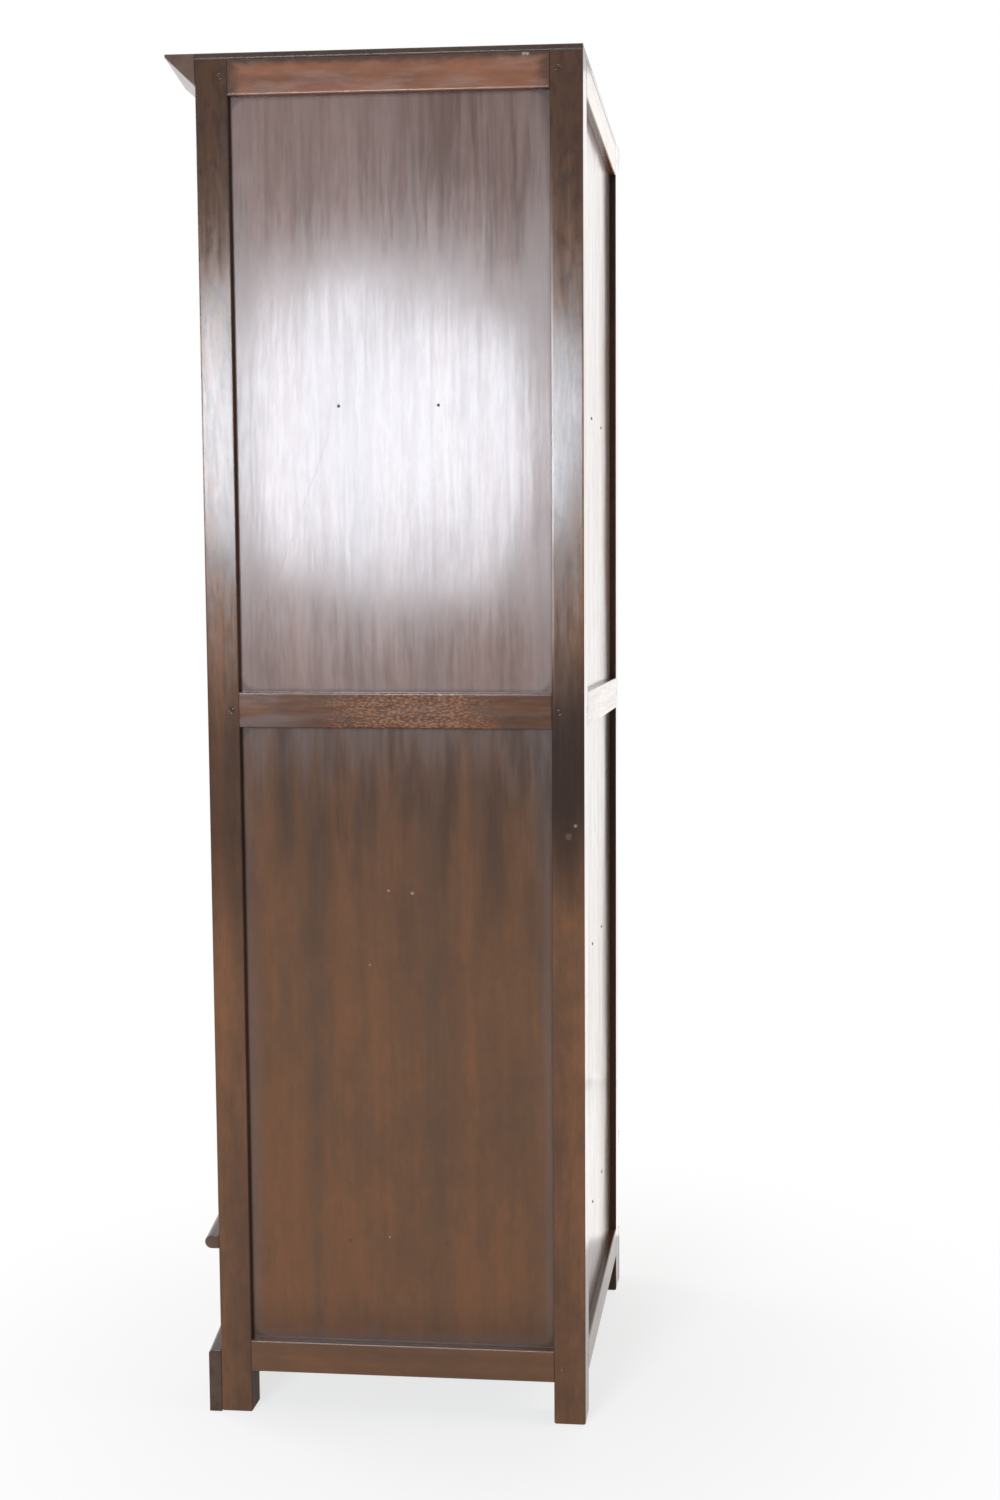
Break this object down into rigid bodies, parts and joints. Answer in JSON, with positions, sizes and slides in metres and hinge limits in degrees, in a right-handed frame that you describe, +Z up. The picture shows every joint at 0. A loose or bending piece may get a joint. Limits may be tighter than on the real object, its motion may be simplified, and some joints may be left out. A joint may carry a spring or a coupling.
{
  "type": "corner cabinet",
  "caption": "Tall stained-wood corner cabinet with frame-and-panel wall sides, short returns, cornice, waist ledge and plinth, a glazed upper door, a panelled lower door and a drawer.",
  "frame": {"origin": "on the floor, at the middle of the cabinet's box seen from above", "axes": "+Z up, the front faces -Y, the back corner points to +Y, the wall sides lie at 45 degrees"},
  "size_m": [0.808, 0.5196, 1.91],
  "materials": {
    "stained_frame": "dark brown stain under semi-gloss varnish",
    "stained_panel": "dark brown streaky stain under semi-gloss varnish",
    "stained_moulding": "dark brown stain under semi-gloss varnish",
    "inner_wood": "thin matt stain",
    "peg_wood": "dark end grain",
    "dark_iron": "rusty black",
    "aged_brass": "aged satin",
    "clear_glass": "clear"
  },
  "bodies": {
    "carcass": {"back_corner_post": "stained_frame", "carcass_hinge_leaves": "aged_brass", "cornice_front": "stained_moulding", "cupboard_floor": "inner_wood", "drawer_runners": "inner_wood", "front_base_rail": "stained_frame", "front_top_rail": "stained_frame", "hinge_pins": "aged_brass", "joint_pegs": "peg_wood", "left_cornice_return": "stained_moulding", "left_front_leg": "stained_frame", "left_front_stile": "stained_frame", "left_plinth_return": "stained_moulding", "left_return_board": "stained_frame", "left_waist_ledge_return": "stained_moulding", "left_wall_bottom_rail": "stained_frame", "left_wall_lower_panel": "stained_panel", "left_wall_middle_rail": "stained_frame", "left_wall_top_rail": "stained_frame", "left_wall_upper_panel": "stained_panel", "lower_shelf": "inner_wood", "middle_shelf": "inner_wood", "panel_nails": "dark_iron", "plinth_front": "stained_moulding", "right_cornice_return": "stained_moulding", "right_front_leg": "stained_frame", "right_front_stile": "stained_frame", "right_plinth_return": "stained_moulding", "right_return_board": "stained_frame", "right_waist_ledge_return": "stained_moulding", "right_wall_bottom_rail": "stained_frame", "right_wall_lower_panel": "stained_panel", "right_wall_middle_rail": "stained_frame", "right_wall_top_rail": "stained_frame", "right_wall_upper_panel": "stained_panel", "top_board": "stained_frame", "upper_shelf": "inner_wood", "waist_ledge_front": "stained_moulding"},
    "upper_door": {"upper_door_bottom_rail": "stained_frame", "upper_door_catch": "aged_brass", "upper_door_closing_stile": "stained_frame", "upper_door_glass": "clear_glass", "upper_door_glazing_beads": "stained_frame", "upper_door_hinge_leaves": "aged_brass", "upper_door_hinge_stile": "stained_frame", "upper_door_knob": "aged_brass", "upper_door_top_rail": "stained_frame"},
    "lower_door": {"lower_door_bottom_rail": "stained_frame", "lower_door_catch": "aged_brass", "lower_door_closing_stile": "stained_frame", "lower_door_hinge_leaves": "aged_brass", "lower_door_hinge_stile": "stained_frame", "lower_door_knob": "aged_brass", "lower_door_panel": "stained_panel", "lower_door_top_rail": "stained_frame"},
    "drawer": {"drawer_back": "inner_wood", "drawer_bottom": "inner_wood", "drawer_front": "stained_frame", "drawer_knobs": "aged_brass", "drawer_sides": "inner_wood"}
  },
  "joints": [
    {"name": "upper_door_hinge", "type": "hinge", "parent": "carcass", "child": "upper_door", "pos_m": [-0.24753, -0.22259, 1.437], "axis": [0, 0, -1], "range_deg": [0, 110]},
    {"name": "lower_door_hinge", "type": "hinge", "parent": "carcass", "child": "lower_door", "pos_m": [-0.24753, -0.22259, 0.637], "axis": [0, 0, -1], "range_deg": [0, 110]},
    {"name": "drawer_slide", "type": "slide", "parent": "carcass", "child": "drawer", "axis": [0, -1, 0], "range_m": [0, 0.13]}
  ]
}
